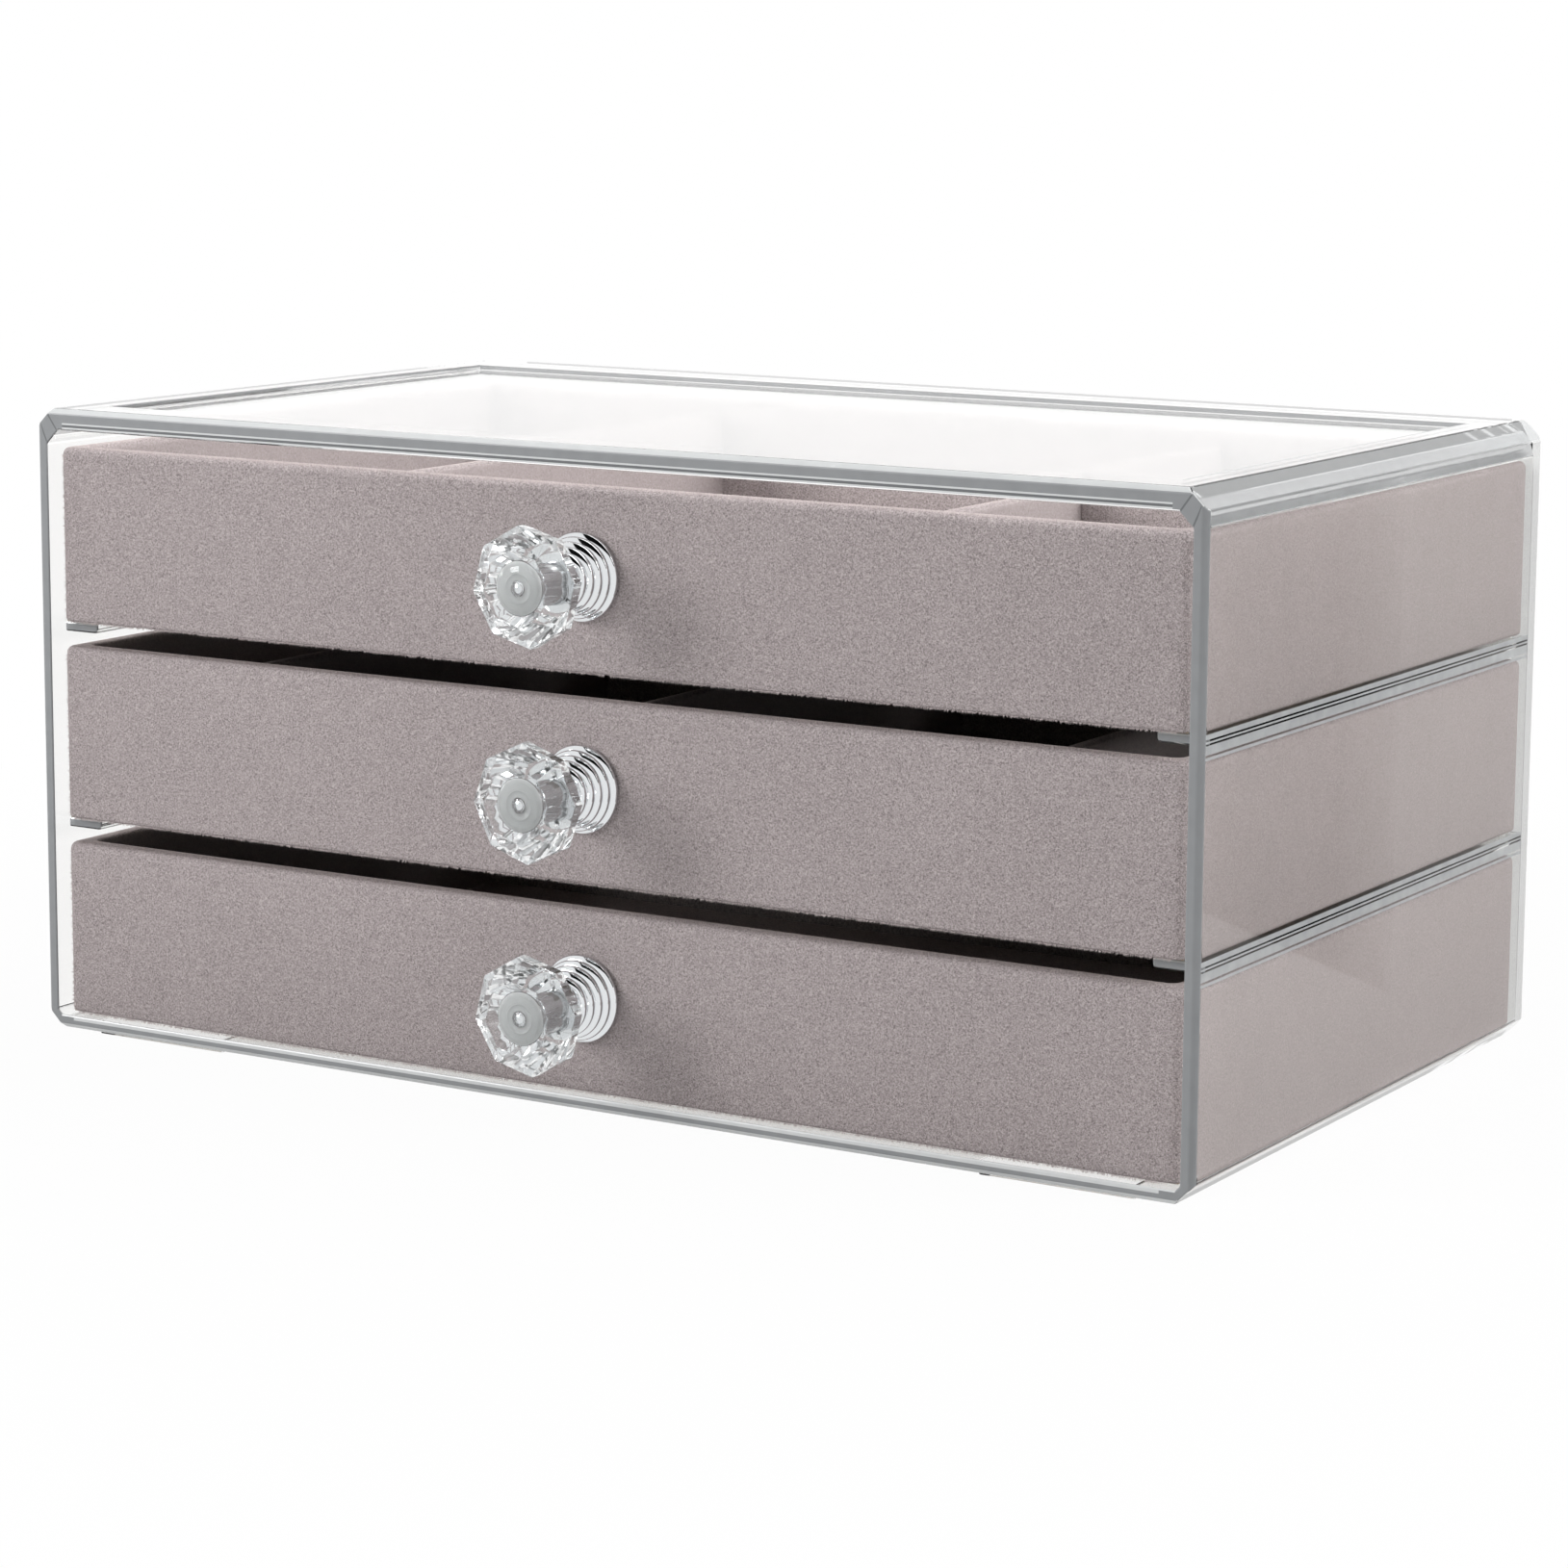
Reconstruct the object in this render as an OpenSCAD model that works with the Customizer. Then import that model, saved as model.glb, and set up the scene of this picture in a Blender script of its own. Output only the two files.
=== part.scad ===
// Clear earring box with three velvet-covered drawers and crystal knobs.
// Millimetres. The drawers open towards -Y, and the feet stand on Z = 0.

/* [Casing] */
// Outside width of the clear casing
casing_w = 232; // [180:1:300]
// Outside depth of the clear casing, from the front rim to the back
casing_d = 137; // [110:1:180]
// Thickness of the side walls
wall_t = 2.4; // [1.6:0.1:4]
// Thickness of the top panel
top_t = 3.8; // [2.2:0.1:5]
// Thickness of the floor
floor_t = 2.4; // [1.6:0.1:4]
// Thickness of the back wall
back_t = 2; // [1.6:0.1:4]
// Cut across the four long outside edges
edge_cut = 3.5; // [1:0.1:4]
// Gap between the cut inside corners and a drawer's long lower edges
corner_clear = 0.15; // [0.05:0.05:0.3]
// Bevel on the outside of the front rim and on the back edges
rim_bevel = 0.8; // [0.3:0.1:1.4]
// Free height between the top drawer and the top panel
head_gap = 3.3; // [1:0.1:8]
// Cut across the two upper inside corners
head_cut = 2.5; // [0.5:0.1:3.5]

/* [Top and feet] */
// Width of the rim at the front and the sides of the recess in the top
recess_rim = 9; // [6:0.5:16]
// Width of the rim behind the recess
recess_back_rim = 13; // [6:0.5:20]
// Depth of the recess
recess_depth = 1; // [0.6:0.1:1.8]
// Length of each foot, across the box
foot_l = 28; // [12:1:50]
// Width of each foot, front to back
foot_w = 7; // [4:0.5:20]
// Height of each foot
foot_h = 0.5; // [0.3:0.1:1.5]
// Distance from the casing's sides to the feet
foot_side = 11; // [6:0.5:30]
// Distance from the casing's front and back to the feet
foot_edge = 1.5; // [1.5:0.5:20]

/* [Rails] */
// Width of a drawer rail, out from the side wall
rail_w = 7.5; // [5:0.5:12]
// Thickness of a drawer rail
rail_t = 1.8; // [1.6:0.1:4]
// Distance from the front rim to the front end of a rail
rail_setback = 4; // [2:0.2:12]
// Rounding of the rail's free lower edge
rail_round = 0.8; // [0.3:0.1:1.2]

/* [Drawers] */
// Height of a drawer
drawer_h = 31.4; // [26:0.2:45]
// Distance from the front rim to the drawer fronts
drawer_setback = 2; // [1:0.2:14]
// Gap between a drawer's side and the side wall
side_gap = 0.8; // [0.5:0.1:2]
// Gap between a drawer and the back wall
back_gap = 0.6; // [0.5:0.1:6]
// Running gap under a drawer
run_gap = 0.3; // [0.2:0.05:0.6]
// Free height between a drawer and the rail over it
rail_clear = 2.4; // [1:0.1:4]
// Thickness of the front boards
front_t = 3; // [2.6:0.1:5]
// Thickness of the side and back boards
board_t = 2.5; // [1.5:0.1:4]
// Thickness of the base boards
base_t = 2; // [1:0.1:3]
// Thickness of the velvet round the boards
velvet_t = 0.8; // [0.6:0.1:1.4]
// Thickness of the velvet on a drawer's floor
lining_t = 0.8; // [0.5:0.1:2]

/* [Dividers] */
// Thickness of a covered divider
divider_t = 3; // [2:0.1:5]
// How far the dividers stop below the drawer's top
divider_drop = 3; // [1:0.5:10]
// Play at each end of a divider
divider_play = 0.1; // [0.05:0.05:0.3]
// Clear width of the top drawer's side compartments
top_side_w = 52.7; // [20:0.1:60]
// Distance from the top drawer's front to its cross divider
top_cross_y = 72; // [30:1:85]
// Clear width of the middle drawer's side compartments
middle_side_w = 25.2; // [15:0.1:40]

/* [Knobs] */
// Radius of the chrome base where it meets the drawer
knob_base_r = 7.6; // [6:0.1:10]
// Radius of the chrome base where it meets the crystal
knob_neck_r = 4.2; // [3.2:0.1:5]
// Height of the knobs above the middle of the drawer fronts
knob_lift = 0.6; // [0:0.1:3]
// Length of the chrome base
knob_base_l = 8; // [7.2:0.1:14]
// Number of rings on the chrome base
knob_rings = 6; // [3:1:8]
// Radius of the crystal at the corners of its girdle
crystal_r = 10.2; // [8:0.1:13]
// Radius of the crystal's flat front at its corners
crystal_table_r = 6.4; // [4:0.1:7.5]
// Radius of the crystal's back at its corners
crystal_back_r = 5; // [4:0.1:7]
// Length of the crystal's tapered back
crystal_back_l = 7; // [3:0.1:9]
// Length of the crystal's straight girdle
crystal_girdle_l = 2; // [1:0.1:6]
// Length of the crystal's tapered crown
crystal_crown_l = 2.5; // [1.5:0.1:7]
// Turn of the top knob, in degrees
top_knob_turn = 7; // [0:1:45]
// Turn of the middle knob, in degrees
middle_knob_turn = 3; // [0:1:45]
// Turn of the bottom knob, in degrees
bottom_knob_turn = 8; // [0:1:45]

/* [Screws] */
// Radius of a knob screw's shank
screw_r = 1.5; // [1:0.1:2]
// Radius of a knob screw's head
screw_head_r = 2.8; // [2.4:0.1:4]
// Height of a knob screw's head
screw_head_h = 1.4; // [0.8:0.1:1.8]
// Length of screw held in the chrome base
screw_grip = 6; // [3:0.5:7]
// Gap round the shank in the chrome base
thread_play = 0.05; // [0.02:0.01:0.1]
// Gap round the screw in the drawer front
hole_play = 0.2; // [0.1:0.05:0.4]

/* [Hidden] */
$fn = 48;
// Extra length of a cutting solid past the face that it opens
over = 1;

// Length of a crystal and of a whole knob
crystal_l = crystal_back_l + crystal_girdle_l + crystal_crown_l;
knob_l = knob_base_l + crystal_l;
// How far the knobs stand out past the front rim
knob_proud = knob_l - drawer_setback;

// Front and back faces of the casing, placed so that the whole part is centred on Y
front_y = (knob_proud - casing_d) / 2;
back_y = front_y + casing_d;
inside_back_y = back_y - back_t;

// Heights: the floor's top, the step from drawer to drawer, and the casing's top
floor_z = foot_h + floor_t;
drawer_step = drawer_h + rail_clear + rail_t + run_gap;
casing_top = floor_z + run_gap + 2 * drawer_step + drawer_h + head_gap + top_t;

// Cuts across the lower and upper inside corners, square to which the drawer keeps its gap
inner_cut = side_gap + run_gap - corner_clear * sqrt(2);
upper_cut = min(head_cut, side_gap + head_gap - corner_clear * sqrt(2));

// Drawer outside, and the inset of each layer of its walls
drawer_w = casing_w - 2 * (wall_t + side_gap);
drawer_front_y = front_y + drawer_setback;
drawer_back_y = inside_back_y - back_gap;
drawer_d = drawer_back_y - drawer_front_y;
corner_r = 2.5 * velvet_t;
front_in = velvet_t + front_t;
side_in = velvet_t + board_t;

// Clear inside of a drawer, between the velvet faces
room_w = drawer_w - 2 * (side_in + velvet_t);
room_front_y = drawer_front_y + front_in + velvet_t;
room_back_y = drawer_back_y - side_in - velvet_t;
room_z = base_t + lining_t;
divider_h = drawer_h - divider_drop - room_z;
// Distance from the middle to the side dividers of the top and the middle drawer
top_divider_x = room_w / 2 - top_side_w - divider_t / 2;
middle_divider_x = room_w / 2 - middle_side_w - divider_t / 2;

// Underside of drawer i, where 0 is the bottom drawer and 2 the top one
function drawer_z(i) = floor_z + run_gap + i * drawer_step;

// Rectangle with its lower and upper corners cut off, from (x0, y0) to (x1, y1)
module cut_rect(x0, y0, x1, y1, cut, upper) {
  polygon([
    [x0 + cut, y0], [x1 - cut, y0], [x1, y0 + cut], [x1, y1 - upper],
    [x1 - upper, y1], [x0 + upper, y1], [x0, y1 - upper], [x0, y0 + cut]
  ]);
}

// Rectangle with round corners, centred on X, from y0 to y1
module round_rect(w, y0, y1, r) {
  translate([-w / 2 + r, y0]) square([w - 2 * r, y1 - y0]);
  translate([-w / 2, y0 + r]) square([w, y1 - y0 - 2 * r]);
  for (x = [-w / 2 + r, w / 2 - r], y = [y0 + r, y1 - r]) {
    translate([x, y]) circle(r);
  }
}

// Block centred on X, from y0 to y1 and from z0 to z1
module block(w, y0, y1, z0, z1) {
  translate([-w / 2, y0, z0]) cube([w, y1 - y0, z1 - z0]);
}

// Casing as a solid block: the front outline, its bevels from the side and from above
module casing_block() {
  intersection() {
    translate([0, back_y, 0]) rotate([90, 0, 0]) linear_extrude(casing_d) {
      cut_rect(-casing_w / 2, foot_h, casing_w / 2, casing_top, edge_cut, edge_cut);
    }
    translate([-casing_w / 2, 0, 0]) rotate([90, 0, 90]) linear_extrude(casing_w) {
      cut_rect(front_y, foot_h, back_y, casing_top, rim_bevel, rim_bevel);
    }
    translate([0, 0, foot_h]) linear_extrude(casing_top - foot_h) {
      cut_rect(-casing_w / 2, front_y, casing_w / 2, back_y, rim_bevel, rim_bevel);
    }
  }
}

// Space for the drawers, open at the front
module casing_room() {
  inside = casing_w / 2 - wall_t;
  translate([0, inside_back_y, 0]) rotate([90, 0, 0]) linear_extrude(casing_d - back_t + over) {
    cut_rect(-inside, floor_z, inside, casing_top - top_t, inner_cut, upper_cut);
  }
}

// Four low feet under the floor, near the corners
module casing_feet() {
  foot_x = casing_w / 2 - foot_side - foot_l;
  for (x = [-foot_x - foot_l, foot_x], y = [front_y + foot_edge, back_y - foot_edge - foot_w]) {
    translate([x, y, 0]) cube([foot_l, foot_w, foot_h + floor_t / 2]);
  }
}

module casing() {
  color("whitesmoke") difference() {
    union() {
      casing_block();
      casing_feet();
    }
    casing_room();
    block(casing_w - 2 * recess_rim, front_y + recess_rim, back_y - recess_back_rim,
      casing_top - recess_depth, casing_top + over);
  }
}

// Right-hand rail that carries drawer i, against the side wall and the back wall
module rail(i) {
  wall_x = casing_w / 2 - wall_t;
  top = drawer_z(i) - run_gap;
  color("gainsboro") translate([0, inside_back_y, 0]) rotate([90, 0, 0])
    linear_extrude(casing_d - back_t - rail_setback) {
      translate([wall_x - rail_w, top - rail_t + rail_round]) square([rail_w, rail_t - rail_round]);
      translate([wall_x - rail_w + rail_round, top - rail_t]) square([rail_w - rail_round, rail_t]);
      translate([wall_x - rail_w + rail_round, top - rail_t + rail_round]) circle(rail_round);
    }
}

module rail_upper_left() { mirror([1, 0, 0]) rail(2); }
module rail_upper_right() { rail(2); }
module rail_lower_left() { mirror([1, 0, 0]) rail(1); }
module rail_lower_right() { rail(1); }

// Puts a knob's own axis, which grows out of the velvet front, on drawer i
module at_knob(i) {
  translate([0, drawer_front_y, drawer_z(i) + drawer_h / 2 + knob_lift]) rotate([90, 0, 0]) children();
}

// Way for a knob screw through a drawer front, with a seat for its head in the board
module screw_way() {
  translate([0, 0, -front_in - over]) cylinder(r = screw_r + hole_play, h = front_in + 2 * over);
  translate([0, 0, -front_in - over]) cylinder(r = screw_head_r + hole_play, h = screw_head_h + over);
}

// Boards of drawer i: the front and the back run right across, and the rest fits between
module front_board(i) {
  color("tan") difference() {
    block(drawer_w - 2 * velvet_t, drawer_front_y + velvet_t, drawer_front_y + front_in,
      drawer_z(i), drawer_z(i) + drawer_h - velvet_t);
    at_knob(i) screw_way();
  }
}

module back_board(i) {
  color("tan") block(drawer_w - 2 * velvet_t, drawer_back_y - side_in, drawer_back_y - velvet_t,
    drawer_z(i), drawer_z(i) + drawer_h - velvet_t);
}

module right_board(i) {
  color("burlywood") translate([drawer_w / 2 - side_in, drawer_front_y + front_in, drawer_z(i)])
    cube([board_t, drawer_d - front_in - side_in, drawer_h - velvet_t]);
}

module left_board(i) { mirror([1, 0, 0]) right_board(i); }

module base_board(i) {
  color("peru") block(drawer_w - 2 * side_in, drawer_front_y + front_in, drawer_back_y - side_in,
    drawer_z(i), drawer_z(i) + base_t);
}

// Velvet over the outside, the top edge and the inside of drawer i's four walls
module velvet_cover(i) {
  z = drawer_z(i);
  color("rosybrown") difference() {
    translate([0, 0, z]) linear_extrude(drawer_h) {
      round_rect(drawer_w, drawer_front_y, drawer_back_y, corner_r);
    }
    block(room_w, room_front_y, room_back_y, z - over, z + drawer_h + over);
    block(drawer_w - 2 * side_in, drawer_front_y + front_in, drawer_back_y - side_in,
      z - over, z + base_t);
    difference() {
      block(drawer_w - 2 * velvet_t, drawer_front_y + velvet_t, drawer_back_y - velvet_t,
        z - over, z + drawer_h - velvet_t);
      block(drawer_w - 2 * side_in, drawer_front_y + front_in, drawer_back_y - side_in,
        z - 2 * over, z + drawer_h);
    }
    at_knob(i) translate([0, 0, -velvet_t - over / 2])
      cylinder(r = screw_r + hole_play, h = velvet_t + over);
  }
}

module floor_lining(i) {
  color("thistle") block(room_w, room_front_y, room_back_y, drawer_z(i) + base_t, drawer_z(i) + room_z);
}

// Divider that runs from front to back in drawer i, centred on x
module divider(i, x) {
  color("mistyrose") translate([x, 0, 0])
    block(divider_t, room_front_y + divider_play, room_back_y - divider_play,
      drawer_z(i) + room_z, drawer_z(i) + room_z + divider_h);
}

// Cross divider in the top drawer, from its right divider to the side
module top_cross_right() {
  near = top_divider_x + divider_t / 2 + divider_play;
  color("pink") translate([near, drawer_front_y + top_cross_y, drawer_z(2) + room_z])
    cube([room_w / 2 - divider_play - near, divider_t, divider_h]);
}

// Chrome base of a knob: rings that step down from the drawer to the crystal
module knob_base(i) {
  step = knob_base_l / knob_rings;
  drop = (knob_base_r - knob_neck_r) / (knob_rings - 1);
  color("silver") at_knob(i) difference() {
    for (k = [0 : knob_rings - 1]) {
      cylinder(r = knob_base_r - k * drop, h = (k + 1) * step);
    }
    translate([0, 0, -over]) cylinder(r = screw_r + thread_play, h = screw_grip + thread_play + over);
  }
}

// Crystal of a knob: an eight-sided body with a tapered back and crown
module knob_crystal(i, turn) {
  color("lightcyan") at_knob(i) translate([0, 0, knob_base_l]) rotate(turn) {
    cylinder(r1 = crystal_back_r, r2 = crystal_r, h = crystal_back_l, $fn = 8);
    translate([0, 0, crystal_back_l]) cylinder(r = crystal_r, h = crystal_girdle_l, $fn = 8);
    translate([0, 0, crystal_back_l + crystal_girdle_l])
      cylinder(r1 = crystal_r, r2 = crystal_table_r, h = crystal_crown_l, $fn = 8);
  }
}

// Screw that holds a knob, with its head sunk in the front board
module knob_screw(i) {
  color("dimgray") at_knob(i) translate([0, 0, -front_in]) {
    cylinder(r = screw_head_r, h = screw_head_h);
    cylinder(r = screw_r, h = front_in + screw_grip);
  }
}

module top_front_board() { front_board(2); }
module top_back_board() { back_board(2); }
module top_left_board() { left_board(2); }
module top_right_board() { right_board(2); }
module top_base_board() { base_board(2); }
module top_velvet_cover() { velvet_cover(2); }
module top_floor_lining() { floor_lining(2); }
module top_divider_left() { divider(2, -top_divider_x); }
module top_divider_right() { divider(2, top_divider_x); }
module top_knob_base() { knob_base(2); }
module top_knob_crystal() { knob_crystal(2, top_knob_turn); }
module top_knob_screw() { knob_screw(2); }

module middle_front_board() { front_board(1); }
module middle_back_board() { back_board(1); }
module middle_left_board() { left_board(1); }
module middle_right_board() { right_board(1); }
module middle_base_board() { base_board(1); }
module middle_velvet_cover() { velvet_cover(1); }
module middle_floor_lining() { floor_lining(1); }
module middle_divider_left() { divider(1, -middle_divider_x); }
module middle_divider_centre() { divider(1, 0); }
module middle_divider_right() { divider(1, middle_divider_x); }
module middle_knob_base() { knob_base(1); }
module middle_knob_crystal() { knob_crystal(1, middle_knob_turn); }
module middle_knob_screw() { knob_screw(1); }

module bottom_front_board() { front_board(0); }
module bottom_back_board() { back_board(0); }
module bottom_left_board() { left_board(0); }
module bottom_right_board() { right_board(0); }
module bottom_base_board() { base_board(0); }
module bottom_velvet_cover() { velvet_cover(0); }
module bottom_floor_lining() { floor_lining(0); }
module bottom_knob_base() { knob_base(0); }
module bottom_knob_crystal() { knob_crystal(0, bottom_knob_turn); }
module bottom_knob_screw() { knob_screw(0); }

casing();
rail_upper_left();
rail_upper_right();
rail_lower_left();
rail_lower_right();
top_front_board();
top_back_board();
top_left_board();
top_right_board();
top_base_board();
top_velvet_cover();
top_floor_lining();
top_divider_left();
top_divider_right();
top_cross_right();
top_knob_base();
top_knob_crystal();
top_knob_screw();
middle_front_board();
middle_back_board();
middle_left_board();
middle_right_board();
middle_base_board();
middle_velvet_cover();
middle_floor_lining();
middle_divider_left();
middle_divider_centre();
middle_divider_right();
middle_knob_base();
middle_knob_crystal();
middle_knob_screw();
bottom_front_board();
bottom_back_board();
bottom_left_board();
bottom_right_board();
bottom_base_board();
bottom_velvet_cover();
bottom_floor_lining();
bottom_knob_base();
bottom_knob_crystal();
bottom_knob_screw();
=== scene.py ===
import math
import random

import bmesh
import bpy
from mathutils import Matrix, Vector


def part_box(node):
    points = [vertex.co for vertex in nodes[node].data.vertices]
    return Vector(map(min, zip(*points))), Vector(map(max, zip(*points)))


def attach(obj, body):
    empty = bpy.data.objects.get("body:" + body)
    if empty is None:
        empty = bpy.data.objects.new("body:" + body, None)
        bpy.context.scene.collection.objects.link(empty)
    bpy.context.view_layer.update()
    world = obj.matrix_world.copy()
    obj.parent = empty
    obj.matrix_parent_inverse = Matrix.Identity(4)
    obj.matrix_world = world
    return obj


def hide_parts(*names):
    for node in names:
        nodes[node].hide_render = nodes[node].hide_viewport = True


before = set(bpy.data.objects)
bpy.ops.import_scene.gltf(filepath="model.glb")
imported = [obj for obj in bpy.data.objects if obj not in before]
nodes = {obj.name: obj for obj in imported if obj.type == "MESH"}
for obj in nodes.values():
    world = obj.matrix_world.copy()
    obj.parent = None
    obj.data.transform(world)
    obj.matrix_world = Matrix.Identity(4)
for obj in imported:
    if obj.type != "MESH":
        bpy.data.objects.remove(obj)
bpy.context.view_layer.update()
levels = ("top", "middle", "bottom")
mm = 0.001
tiny = 1e-6  # metres, the tolerance on a place
flush = 1e-5  # metres, how near to a plane a face on it lies
faceOn = 0.99  # cosine above which a face looks straight along an axis
print("frame loaded:", len(nodes), "nodes")


# sRGB hex to the linear colour that a socket takes
def linearHex(code):
    parts = [int(code[i:i + 2], 16) / 255 for i in (1, 3, 5)]
    return [c / 12.92 if c <= 0.04045 else ((c + 0.055) / 1.055) ** 2.4 for c in parts] + [1.0]


# one node, its settings, and what feeds it: a socket, or a node by its first output
def addNode(tree, kind, settings=None, links=None):
    node = tree.nodes.new("ShaderNode" + kind)
    for key, value in (settings or {}).items():
        if isinstance(key, int) or key in node.inputs:
            node.inputs[key].default_value = value
        else:
            setattr(node, key, value)
    for key, source in (links or {}).items():
        socket = source if isinstance(source, bpy.types.NodeSocket) else source.outputs[0]
        tree.links.new(socket, node.inputs[key])
    return node


# an empty node tree, its output and the piece's own coordinates
def newMaterial(name):
    material = bpy.data.materials.new(name)
    material.use_nodes = True
    tree = material.node_tree
    tree.nodes.clear()
    return material, tree, addNode(tree, "OutputMaterial"), addNode(tree, "TexCoord")


# texture scale for a pattern whose repeat is sizeMm
def perMetre(sizeMm):
    return 1000 / sizeMm


# lets lamp light through a shader, as clear plastic does, so that it casts only a pale shadow
def clearInShadow(tree, output, shader, tint):
    gone = addNode(tree, "BsdfTransparent", {"Color": linearHex(tint)})
    path = addNode(tree, "LightPath")
    mixed = addNode(tree, "MixShader", None, {0: path.outputs["Is Shadow Ray"], 1: shader, 2: gone})
    tree.links.new(mixed.outputs[0], output.inputs["Surface"])


def makePiece(name, bm, material, body, replaced=(), smooth=None):
    bmesh.ops.recalc_face_normals(bm, faces=bm.faces)
    mesh = bpy.data.meshes.new(name)
    bm.to_mesh(mesh)
    bm.free()
    if smooth is not None:
        mesh.shade_smooth()
        mesh.set_sharp_from_angle(angle=math.radians(smooth))
    mesh.materials.append(material)
    piece = bpy.data.objects.new(name, mesh)
    bpy.context.scene.collection.objects.link(piece)
    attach(piece, body)
    if replaced:
        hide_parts(*replaced)
    return piece


# merged copy of a CAD node's mesh, with its flat faces whole
def copyOfNode(name):
    bm = bmesh.new()
    bm.from_mesh(nodes[name].data)
    bmesh.ops.remove_doubles(bm, verts=bm.verts, dist=tiny)
    bmesh.ops.dissolve_limit(bm, angle_limit=math.radians(1), verts=bm.verts, edges=bm.edges)
    return bm


# bevel with the settings that all the pieces share, its width in mm
def bevelled(bm, geom, width, steps, affect="EDGES", **more):
    bmesh.ops.bevel(bm, geom=geom, offset=width * mm, offset_type="OFFSET", segments=steps, profile=0.5,
                    affect=affect, material=-1, **more)


# small round on each edge that turns by more than least, in degrees
def softenEdges(bm, width, steps, least=20, among=None):
    sharp = [e for e in among or bm.edges
             if len(e.link_faces) == 2 and e.calc_face_angle(0) > math.radians(least)]
    bevelled(bm, sharp, width, steps, clamp_overlap=True)


# what an operator made, of one kind
def kindOf(geom, kind):
    return [g for g in geom if isinstance(g, kind)]


# camera: turn, rise and distance from a fit to the casing's corners in the photograph
cameraView = {
    "turn": 30.265, "rise": 9.080, "roll": 0.522,  # degrees
    "distance": 0.777602, "aim": (0.015488, 0.00875, 0.062057), "clip": 0.05,
    "focalPixels": 4518.32, "framePixels": 1629, "sensor": 36,
    "shift": (-0.05, -0.05),  # the photograph is a crop whose optical centre lies up and to the right
}


def makeCamera(view):
    turn, rise, roll = (math.radians(view[k]) for k in ("turn", "rise", "roll"))
    back = Vector((math.sin(turn) * math.cos(rise), -math.cos(turn) * math.cos(rise), math.sin(rise)))
    right = Vector((math.cos(turn), math.sin(turn), 0))
    up = back.cross(right)
    rightRolled = right * math.cos(roll) + up * math.sin(roll)
    upRolled = up * math.cos(roll) - right * math.sin(roll)
    data = bpy.data.cameras.new("camera")
    data.sensor_width = view["sensor"]
    data.lens = view["focalPixels"] / view["framePixels"] * view["sensor"]
    data.shift_x, data.shift_y = view["shift"]
    data.clip_start = view["clip"]
    camera = bpy.data.objects.new("camera", data)
    turned = Matrix((rightRolled, upRolled, back)).transposed().to_4x4()
    camera.matrix_world = Matrix.Translation(Vector(view["aim"]) + back * view["distance"]) @ turned
    bpy.context.scene.collection.objects.link(camera)
    bpy.context.scene.camera = camera


makeCamera(cameraView)
print("camera set")

# stage: white floor and surroundings, soft lamps, dark cards that draw the edges of chrome and acrylic
stageLight = {
    "floor": "#D2D2D2", "floorSize": (8, 8), "fibre": 0.8, "fibreDepth": 0.1,  # fibres in mm
    "glow": "#FFFFFF", "floorGlow": (0.96, 1.0), "glowFrom": (0.14, 0.34),  # share of white, near and far off
    "surround": "#FFFFFF", "surroundLight": 0.45,
    "lamps": {  # place, aim, size in metres, watts
        "softboxLeft": ((-1.0, -1.05, 0.62), (0, 0, 0.05), (0.6, 0.6), 15.4),
        "softboxTop": ((0.2, 0.2, 1.5), (0, 0, 0.05), (1.2, 1.0), 8),
        "softboxRight": ((1.3, 0.35, 0.8), (0.1, 0.05, 0.05), (0.8, 0.8), 13),
        "stripBehind": ((-0.8, 1.3, 0.27), (0, 0, 0.1), (1.3, 0.24), 0.18),
    },
    # centre, what it faces, size, tones, the x between which they fade, and if the acrylic shows it
    "cards": {
        "cardAbove": ((0.75, -0.5, 0.8), (0.75, -0.5, 0), (2.2, 0.8),
                      ("#101010", "#101010"), (0, 1), False),
        "matRight": ((0.667, 0.75, 0.001), (0.667, 0.75, 1), (1.1, 1.7),
                     ("#8C8C8C", "#7C7C7C"), (0.117, 0.3), True),
        "flagRight": ((0.2053, 0.1377, 0.15), (0.8153, -0.6523, 0.15), (0.14, 0.3),
                      ("#7C7C7C", "#303030"), (0.150, 0.168), True),
    },
}


# flat card that faces aim
def makeFlat(name, centre, aim, size):
    bm = bmesh.new()
    bmesh.ops.create_grid(bm, x_segments=1, y_segments=1, size=0.5)
    bmesh.ops.scale(bm, vec=(size[0], size[1], 1), verts=bm.verts)
    facing = (Vector(aim) - Vector(centre)).to_track_quat("Z", "Y").to_matrix().to_4x4()
    bmesh.ops.transform(bm, matrix=Matrix.Translation(centre) @ facing, verts=bm.verts)
    mesh = bpy.data.meshes.new(name)
    bm.to_mesh(mesh)
    bm.free()
    flat = bpy.data.objects.new(name, mesh)
    bpy.context.scene.collection.objects.link(flat)
    return flat


# 1 for rays from the camera, and for those that mirrors and glass send on
def seenDirectly(tree):
    path = addNode(tree, "LightPath")
    first = addNode(tree, "Math", {"operation": "MAXIMUM"},
                    {0: path.outputs["Is Camera Ray"], 1: path.outputs["Is Glossy Ray"]})
    return addNode(tree, "Math", {"operation": "MAXIMUM"}, {0: first, 1: path.outputs["Is Transmission Ray"]})


def makeSurround(light):
    world = bpy.data.worlds.new("studio")
    world.use_nodes = True
    tree = world.node_tree
    tree.nodes.clear()
    strength = addNode(tree, "MapRange", {"To Min": light["surroundLight"], "To Max": 1.0},
                       {"Value": seenDirectly(tree)})
    sky = addNode(tree, "Background", {"Color": linearHex(light["surround"])}, {"Strength": strength})
    addNode(tree, "OutputWorld", None, {"Surface": sky})
    bpy.context.scene.world = world


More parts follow.
